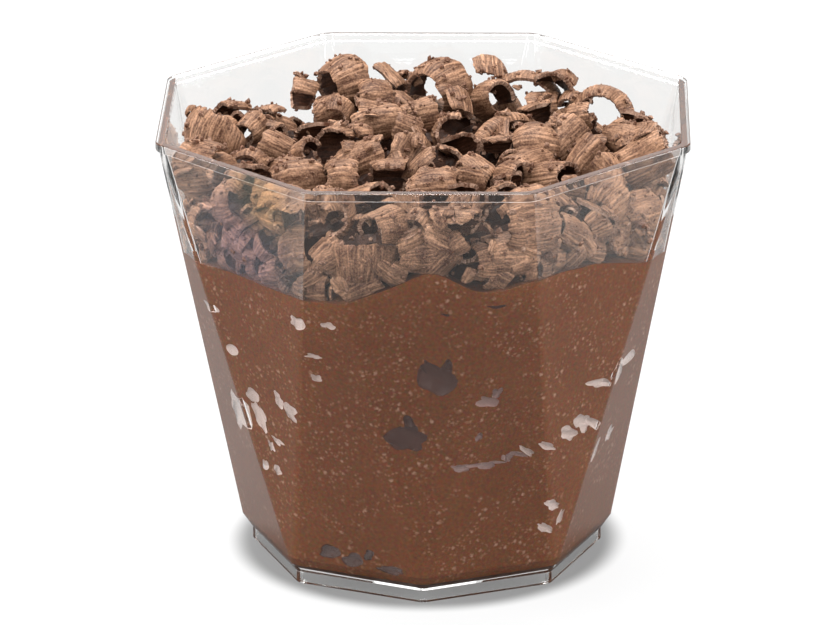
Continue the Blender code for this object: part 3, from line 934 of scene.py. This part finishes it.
def shave(curl, rng, thick=THICKNESS, sink=0.0):
    """One curl as a closed ridged shell, settled in its place."""
    length = curl.radius * math.radians(curl.turn)
    steps, strips = max(6, round(length / SAMPLE_ALONG)), max(4, round(curl.width / SAMPLE_ACROSS))
    bpy.ops.mesh.primitive_grid_add(x_subdivisions=steps, y_subdivisions=strips, size=1.0)
    shaving = bpy.context.object
    flat = coordinates(shaving)
    points, height, strip = rolled(curl, rng, flat[:, 0], flat[:, 1])
    matrix = np.array(placing(curl))
    points = settle(points @ matrix[:3, :3].T + matrix[:3, 3], sink)
    set_coordinates(shaving, points)
    # The ridge heights ride along, for the chocolate's painted shade in the grooves and painted
    # highlight on the crests
    ridge_shade_and_highlight = shaving.data.attributes.new("ridge_shade_and_highlight", "FLOAT", "POINT")
    ridge_shade_and_highlight.data.foreach_set("value", height.astype(np.float32))
    corners = np.empty(len(shaving.data.loops), np.int32)
    shaving.data.loops.foreach_get("vertex_index", corners)
    unrolled = strip[corners] + rng.uniform(0, 40)
    shaving.data.uv_layers[0].data.foreach_set("uv", unrolled.astype(np.float32).ravel())
    for material in CHOCOLATE:
        shaving.data.materials.append(material)
    group = shaving.vertex_groups.new(name="thick")
    edge = np.maximum(2 * np.abs(flat[:, 1]), (2 * np.abs(flat[:, 0])) ** 6)
    levels = np.clip((edge * EDGE_LEVELS).astype(int), 0, EDGE_LEVELS - 1)
    for level in range(EDGE_LEVELS):
        share = [int(index) for index in np.where(levels == level)[0]]
        group.add(share, 1.0 - EDGE_THINNING * level, "REPLACE")
    return apply_modifier(shaving, "SOLIDIFY", thickness=thick * MM, offset=-1.0,
                          vertex_group="thick", material_offset=1, material_offset_rim=2,
                          thickness_vertex_group=0.2)

# %% [markdown]
# Milk chocolate is mostly sugar, milk and cocoa, milled fine, in cocoa butter. A shaved
# face is dull, as the blade tears it. Its ridge crests are painted pale, as painted
# highlight, and the grooves between them dark, as painted shade. The inside of a roll was
# the smooth side of the cut, a little shiny, and is painted darker: partly its own tone,
# partly painted shade inside the roll. Broken edges are grainy and painted paler: partly
# their grain, partly painted highlight.

# %% The chocolate
SCRATCH_ACROSS, SCRATCH_ALONG = 1 / 0.28, 1 / 3.5
# What crests (painted highlight and shade) and patches add to the height, its middle, and
# how narrow the pale peaks are
RIDGE_SHADE_AND_HIGHLIGHT_GAIN, PATCH_GAIN, MIDDLE, PEAKS = 0.35, 0.7, 0.38, 1.5


def milk_chocolate(name, groove, ridge, roughness, gloss, contrast):
    """Shaved chocolate: from groove colour to ridge colour by scratches, grain and ridge height,
    which paints shade and highlight.
    """
    material, tree, shader = new_material(name)
    here = object_place(tree)
    unrolled = add(tree, "ShaderNodeTexCoord").outputs["UV"]
    drawn_out = vector_maths(tree, "MULTIPLY", unrolled, (SCRATCH_ACROSS, SCRATCH_ALONG, 1.0))
    scratches = add(tree, "ShaderNodeTexNoise", Vector=drawn_out, Scale=1.0, Detail=3.0,
                    Roughness=0.6).outputs["Fac"]
    # Painted highlight on the crests and painted shade in the grooves, by ridge height
    ridge_shade_and_highlight = add(tree, "ShaderNodeAttribute", {"attribute_name": "ridge_shade_and_highlight"}).outputs["Fac"]
    grain = noise(tree, here, 0.30, 3.0, 0.65)["Fac"]
    patches = noise(tree, here, 2.6, 2.0)["Fac"]
    relief = maths(tree, "ADD", scratches, grain)
    lift = maths(tree, "MULTIPLY_ADD", relief, contrast, 0.25 - contrast)
    rise = maths(tree, "MULTIPLY_ADD", ridge_shade_and_highlight, RIDGE_SHADE_AND_HIGHLIGHT_GAIN, lift)
    middled = maths(tree, "SUBTRACT", rise, MIDDLE)
    height = maths(tree, "MULTIPLY_ADD", patches, PATCH_GAIN, middled, clamp=True)
    peaks = maths(tree, "POWER", height, PEAKS, clamp=True)
    plug_all(tree, shader, Base_Color=mixed(tree, peaks, linear(groove), linear(ridge)),
             Roughness=roughness, Specular_IOR_Level=gloss)
    raise_surface(tree, shader, relief, 0.5)
    return material


CHOCOLATE = (
    milk_chocolate("milk chocolate, shaved face", "#3A2012", "#C39778", 0.55, 0.14, 1.0),
    # The inner face is painted darker, partly its own tone and partly painted shade inside the
    # roll
    milk_chocolate("milk chocolate, smooth inner face", "#1B0D07", "#684534", 0.50, 0.08, 0.7),
    # The broken edge is painted paler, partly its own grain and partly painted highlight
    milk_chocolate("milk chocolate, broken edge", "#4A2A1A", "#DDBAA2", 0.65, 0.12, 1.0),
)
print("chocolate materials:", [material.name for material in CHOCOLATE])

# %% [markdown]
# The curls become two pieces: those that are listed, and those that the seeded rule adds.
# Each curl is closed by itself, and the pieces are smoothed up to the edges of the
# broken rims.

# %% The heap
SHAPE_SEED = 5
CURL_SHARP_ANGLE = 50


def make_heap(name, curls, seed):
    """Curls as one piece, each shaved with its own random form."""
    rng = random.Random(seed)
    heap = smoothed(joined([shave(curl, rng) for curl in curls], name), CURL_SHARP_ANGLE)
    print(name + ":", len(curls), "curls,", triangles(heap), "triangles")
    return heap


top_curls = make_heap("chocolate_curls_placed", TOP_SHOWN + WALL_SHOWN, SHAPE_SEED)
under_curls = make_heap("chocolate_curls_scattered", scattered, SHAPE_SEED + 1)

# %% [markdown]
# Under the curls lies a bed of broken bits that fills the heap. It isn't seen as such,
# only as dark ground between the curls: it wears the dark inner-face chocolate with no
# ridge height, as painted shade in the gaps. So it is one lumpy block, sunk a little into
# the mousse so that nothing shows beneath it.

# %% The bed under the curls
BED_TOP = 59.6 * MM
BED_INSET = 5.6 * MM
BED_BOTTOM, BED_HULL_TOP = 50.2 * MM, 68 * MM


def bed_height(x, y):
    """Knobbly ground, with lumps two to four millimetres apart."""
    coarse = np.sin(x / (1.3 * MM) + 1.9 * np.sin(y / (1.7 * MM)))
    fine = np.sin(y / (0.8 * MM) + 1.5 * np.sin(x / (0.9 * MM) + 1.0))
    return BED_TOP + 0.7 * MM * coarse + 0.35 * MM * fine


bed = hollow("chocolate_bed_in_painted_shade", BED_INSET, BED_HULL_TOP)
cut(bed, "INTERSECT", block_under("ground", bed_height, BED_BOTTOM))
# Painted shade: the darkest chocolate, with its ridge attribute left at naught, which leans it to
# the groove colour
bed.data.materials.clear()
bed.data.materials.append(CHOCOLATE[1])
bed.data.attributes.new("ridge_shade_and_highlight", "FLOAT", "POINT")
print("chocolate_bed_in_painted_shade:", triangles(bed), "triangles")

# %% [markdown]
# Chips and crumbs fall between the curls when they are shaken on. Both are dropped: a
# ray from above, or from the wall inwards, finds the chocolate that they land on.

# %% Where chips and crumbs land
SHARE_FROM_ABOVE = 0.55
DROP_REACH, DROP_HEIGHT = 38 * MM, 80 * MM
SIDE_REACH, SIDE_HEIGHTS = 50, (54, 67)


def landing_places(rng, count, things):
    """Random places on the heap, from above and from the wall, with their normals."""
    trees = []
    for thing in things:
        rows = [vertex.co for vertex in thing.data.vertices]
        trees.append(BVHTree.FromPolygons(rows, [tuple(f.vertices) for f in thing.data.polygons]))
    places = []
    while len(places) < count:
        angle = rng.uniform(0, math.tau)
        way = Vector((math.cos(angle), math.sin(angle), 0.0))
        if rng.random() < SHARE_FROM_ABOVE:
            start = way * (DROP_REACH * math.sqrt(rng.random())) + Vector((0, 0, DROP_HEIGHT))
            down = Vector((0, 0, -1))
        else:
            start = way * SIDE_REACH * MM + Vector((0, 0, rng.uniform(*SIDE_HEIGHTS) * MM))
            down = -way
        hits = [tree.ray_cast(start, down) for tree in trees]
        hits = [hit for hit in hits if hit[0] is not None]
        if hits:
            place, normal, _, _ = min(hits, key=lambda hit: hit[3])
            if place.z > mousse_top(place.x, place.y):
                places.append((place, normal if normal.dot(down) < 0 else -normal))
    return places

# %% [markdown]
# Chips are short flat shavings. A row of them leans on the wall all round, some of them
# pressed into the mousse, and the rest lie where they land.

# %% Chips
WALL_CHIPS, CHIPS = 144, 225
CHIP_LIFTS = (0.3, 2.4, 0.3, 4.6)
WALL_CHIP_THICKNESS, WALL_CHIP_SINK = 0.65, 1.1 * MM
CHIP_THICKNESS = 0.6
CHIP_SEED = 23


def wall_chip(rng, angle, lift):
    """A small shaving that leans on the wall, its back outwards, just over the mousse."""
    size = rng.uniform(1.4, 3.0)
    x, y = WALL_REACH * math.cos(angle), WALL_REACH * math.sin(angle)
    height = float(mousse_top(x * MM, y * MM)) / MM + lift
    return Curl(x, y, height, size, size * rng.uniform(1.0, 2.0), rng.uniform(80, 220),
                math.degrees(angle) + 90 + rng.uniform(-45, 45), rng.uniform(-60, 60),
                90 + rng.uniform(-50, 50), 0.0, rng.uniform(0.0, 0.4))


def landed_chip(rng, place, normal):
    """A small shaving at the place where it landed."""
    size = rng.uniform(0.9, 2.8)
    spot = place + normal * 0.5 * MM
    return Curl(spot.x / MM, spot.y / MM, spot.z / MM - size, size,
                size * rng.uniform(0.7, 1.5), rng.uniform(45, 130), rng.uniform(0, 360),
                rng.uniform(-50, 50), rng.uniform(-60, 60), 0.0, rng.uniform(0.0, 0.3))


def make_chips():
    """All the chips as one piece."""
    rng = random.Random(CHIP_SEED)
    chips = []
    for index in range(WALL_CHIPS):
        angle = math.tau * (index + rng.uniform(-0.4, 0.4)) / WALL_CHIPS
        chip = wall_chip(rng, angle, CHIP_LIFTS[index % len(CHIP_LIFTS)])
        chips.append(shave(chip, rng, WALL_CHIP_THICKNESS, WALL_CHIP_SINK))
    for place, normal in landing_places(rng, CHIPS, (top_curls, under_curls, bed)):
        chips.append(shave(landed_chip(rng, place, normal), rng, CHIP_THICKNESS))
    return smoothed(joined(chips, "chocolate_chips"), CURL_SHARP_ANGLE)


chips = make_chips()
print("chocolate_chips:", triangles(chips), "triangles")

# %% [markdown]
# Crumbs are angular grains of a few faces, most of them as fine as sugar. They are all
# made in one mesh, each a lumpy copy of the same small ball, turned at random.

# %% Crumbs
CRUMBS = 3200
CRUMB_SEED = 24
CRUMB_LUMPS = 0.3
SMALLEST_CRUMB, CRUMB_RANGE = 0.12, 0.42


def make_crumbs():
    """Grains of one mesh: each a small angular lump, standing on what it landed on."""
    rng = random.Random(CRUMB_SEED)
    bpy.ops.mesh.primitive_ico_sphere_add(subdivisions=1, radius=1.0)
    seed_grain = bpy.context.object
    rows = coordinates(seed_grain)
    faces = np.array([tuple(face.vertices) for face in seed_grain.data.polygons])
    places = landing_places(rng, CRUMBS, (top_curls, under_curls, chips, bed))
    points, corners = [], []
    for place, normal in places:
        size = SMALLEST_CRUMB + CRUMB_RANGE * rng.random() ** 2.5
        grain = lumpy(rows, rng, CRUMB_LUMPS)
        grain = grain * [rng.uniform(0.6, 1.3) * size * MM for _ in range(3)]
        turn = Matrix.Rotation(rng.uniform(0, math.tau), 3, Vector(
            (rng.uniform(-1, 1), rng.uniform(-1, 1), rng.uniform(-1, 1))))
        grain = grain @ np.array(turn).T + np.array(place + normal * 0.4 * size * MM)
        corners.append(faces + len(rows) * len(points))
        points.append(grain)
    mesh = bpy.data.meshes.new("chocolate_crumbs")
    mesh.from_pydata(np.concatenate(points), [], np.concatenate(corners))
    bpy.data.objects.remove(seed_grain)
    crumbs = bpy.data.objects.new("chocolate_crumbs", mesh)
    bpy.context.scene.collection.objects.link(crumbs)
    return crumbs


crumbs = make_crumbs()
crumbs.data.materials.append(CHOCOLATE[2])
crumbs.data.attributes.new("ridge_shade_and_highlight", "FLOAT", "POINT")
print("chocolate_crumbs:", triangles(crumbs), "triangles")

# %% [markdown]
# ## Riding and replacing
#
# Every piece rides on the one body of the model. The imported node that it stands for is
# hidden, and a print says which pieces replace it.

# %% Pieces and the imported model
CHOCOLATE_PIECES = (top_curls, under_curls, bed, chips, crumbs)
for node, slot, pieces in (
        ("cup", "cup_plastic", (moulded_cup,)),
        ("mousse", "mousse", (mousse,)),
        ("chocolate_curls", "chocolate_curls", CHOCOLATE_PIECES)):
    for piece in pieces:
        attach(piece, "root")
        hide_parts(node)
    print(node, "is replaced by", [piece.name for piece in pieces])

# %% [markdown]
# ## The studio
#
# The cup stands on a light table. Its glow is painted lower beneath the cup and close to
# it, as a painted shadow where a real cup would shade it. Clear plastic mirrors a bright
# table so strongly that the food turns milky, so the table's glow is painted dim in every
# mirrored view of it, and the part in front of the cup glows dimly in anything but the
# direct view: painted shade, as if a dark card lay there.

# %% The light table
TABLE_SIZE, TABLE_DROP = 6.0, 0.03 * MM
# Painted shadow: the glow is lower beneath the cup and close round it
PAINTED_SHADOW_GLOW, FULL_GLOW, PAINTED_DIM_GLOW = 0.25, 0.88, 0.28
PAINTED_SHADOW_REACH = 27.5 * MM, 32 * MM
# Painted shade: where the table glows dimly, in front of the cup for all but the camera's own
# rays, and in every mirrored view of it
PAINTED_CARD_DEPTH, PAINTED_CARD_DISTANCE = (-15 * MM, -40 * MM), (46 * MM, 64 * MM)
WHITE, TABLE_GREY = (1.0, 1.0, 1.0, 1.0), (0.08, 0.08, 0.08, 1.0)


def make_table():
    """A glowing plate, a hair under the foot, its glow with painted shadow and shade."""
    bpy.ops.mesh.primitive_plane_add(size=TABLE_SIZE, location=(0, 0, -TABLE_DROP))
    table = bpy.context.object
    table.name = "table"
    material, tree, shader = new_material("white acrylic light table with painted shadow and shade")
    here = object_place(tree)
    away = vector_maths(tree, "LENGTH", here)
    # Painted shadow round the foot: the glow is lower close to the cup
    glow_with_painted_shadow = ramp(tree, away, *PAINTED_SHADOW_REACH, PAINTED_SHADOW_GLOW, FULL_GLOW, "SMOOTHSTEP")
    # Painted shade in front of the cup, as if a dark card lay there, for all but the camera's own
    # rays
    depth = add(tree, "ShaderNodeSeparateXYZ", Vector=here).outputs["Y"]
    forward = ramp(tree, depth, *PAINTED_CARD_DEPTH, way="SMOOTHSTEP")
    outside = ramp(tree, away, *PAINTED_CARD_DISTANCE, way="SMOOTHSTEP")
    rays = add(tree, "ShaderNodeLightPath").outputs
    unseen = maths(tree, "SUBTRACT", 1.0, rays["Is Camera Ray"])
    on_painted_card = maths(tree, "MULTIPLY", maths(tree, "MULTIPLY", forward, outside), unseen)
    # Painted dim reflection: every mirrored view of the table sees its glow lowered
    painted_dim_reflection = maths(tree, "SUBTRACT", rays["Is Glossy Ray"], rays["Is Transmission Ray"],
                     clamp=True)
    painted_dimming = maths(tree, "MAXIMUM", on_painted_card, painted_dim_reflection)
    share = ramp(tree, painted_dimming, 0.0, 1.0, 1.0, PAINTED_DIM_GLOW)
    plug_all(tree, shader, Base_Color=TABLE_GREY, Roughness=0.9, Specular_IOR_Level=0.0,
             Emission_Color=WHITE, Emission_Strength=maths(tree, "MULTIPLY", glow_with_painted_shadow, share))
    table.data.materials.append(material)


make_table()

# %% [markdown]
# The world is the inside of a light tent. It is bright where it is looked at, directly or
# through the plastic, and dimmer in its light on the food, so that the wide lamps above
# and around the cup shape the curls.

# %% The light tent and its lamps
TENT_LIGHT, TENT_SEEN = 0.30, 0.95
# Each lamp: its name, its place and the height that it aims at in metres, its size, its power
LAMPS = (
    ("overhead softbox", (-0.1, 0.2, 0.8), 0.05, 0.6, 16.0),
    ("front softbox", (0.0, -0.95, 0.35), 0.04, 0.45, 4.5),
    ("back softbox", (0.1, 1.3, 0.5), 0.05, 0.6, 1.2),
    ("left softbox", (-0.6, -0.12, 0.3), 0.05, 0.45, 5.0),
    ("right softbox", (0.6, -0.12, 0.3), 0.05, 0.45, 5.0),
)


def make_world():
    """A white tent all round."""
    world = bpy.data.worlds.new("light tent")
    bpy.context.scene.world = world
    world.use_nodes = True
    tree = world.node_tree
    rays = add(tree, "ShaderNodeLightPath").outputs
    looked_at = maths(tree, "MAXIMUM", rays["Is Camera Ray"], rays["Is Transmission Ray"])
    plug_all(tree, tree.nodes["Background"], Color=WHITE,
             Strength=ramp(tree, looked_at, 0.0, 1.0, TENT_LIGHT, TENT_SEEN))


def add_lamp(name, place, aim_height, size, power):
    """A square area lamp that looks at a point on the cup's axis."""
    lamp = bpy.data.lights.new(name, "AREA")
    lamp.energy, lamp.size = power, size
    thing = bpy.data.objects.new(name, lamp)
    bpy.context.scene.collection.objects.link(thing)
    thing.location = place
    towards = Vector((0, 0, aim_height)) - Vector(place)
    thing.rotation_euler = towards.to_track_quat("-Z", "Y").to_euler()


make_world()
for lamp in LAMPS:
    add_lamp(*lamp)
print("lamps:", [lamp[0] for lamp in LAMPS])

# %% [markdown]
# The camera stands as in the photograph: a long lens, a metre away, looking down at the
# cup. Light in the plastic goes from wall to wall many times before it comes out, so
# rays are let bounce far more often than Blender would by itself.

# %% The camera
CAMERA_LENS = 280.7
CAMERA_DISTANCE = 1.0123
CAMERA_AZIMUTH, CAMERA_ELEVATION = 1.289, 19.66
CAMERA_ROLL, CAMERA_PAN, CAMERA_TILT = -0.262, -0.082, 0.031
CAMERA_AIM_HEIGHT = 37 * MM


def make_camera():
    """A camera on the given bearing, with a small pan, tilt and roll for the framing."""
    around, above = math.radians(CAMERA_AZIMUTH), math.radians(CAMERA_ELEVATION)
    back = Vector((math.sin(around) * math.cos(above), -math.cos(around) * math.cos(above),
                   math.sin(above)))
    camera = bpy.data.cameras.new("camera")
    camera.lens = CAMERA_LENS
    camera.clip_start = 0.05
    thing = bpy.data.objects.new("camera", camera)
    bpy.context.scene.collection.objects.link(thing)
    facing = back.to_track_quat("Z", "Y").to_matrix()
    swing = (Matrix.Rotation(math.radians(CAMERA_ROLL), 3, "Z")
             @ Matrix.Rotation(math.radians(-CAMERA_PAN), 3, "Y")
             @ Matrix.Rotation(math.radians(CAMERA_TILT), 3, "X"))
    place = Vector((0, 0, CAMERA_AIM_HEIGHT)) + back * CAMERA_DISTANCE
    thing.matrix_world = Matrix.Translation(place) @ (facing @ swing).to_4x4()
    bpy.context.scene.camera = thing


make_camera()
scene = bpy.context.scene
scene.view_settings.view_transform = "Standard"
scene.cycles.use_denoising = True
scene.cycles.max_bounces = 32
scene.cycles.glossy_bounces = 20
scene.cycles.transmission_bounces = 24
scene.cycles.transparent_max_bounces = 12
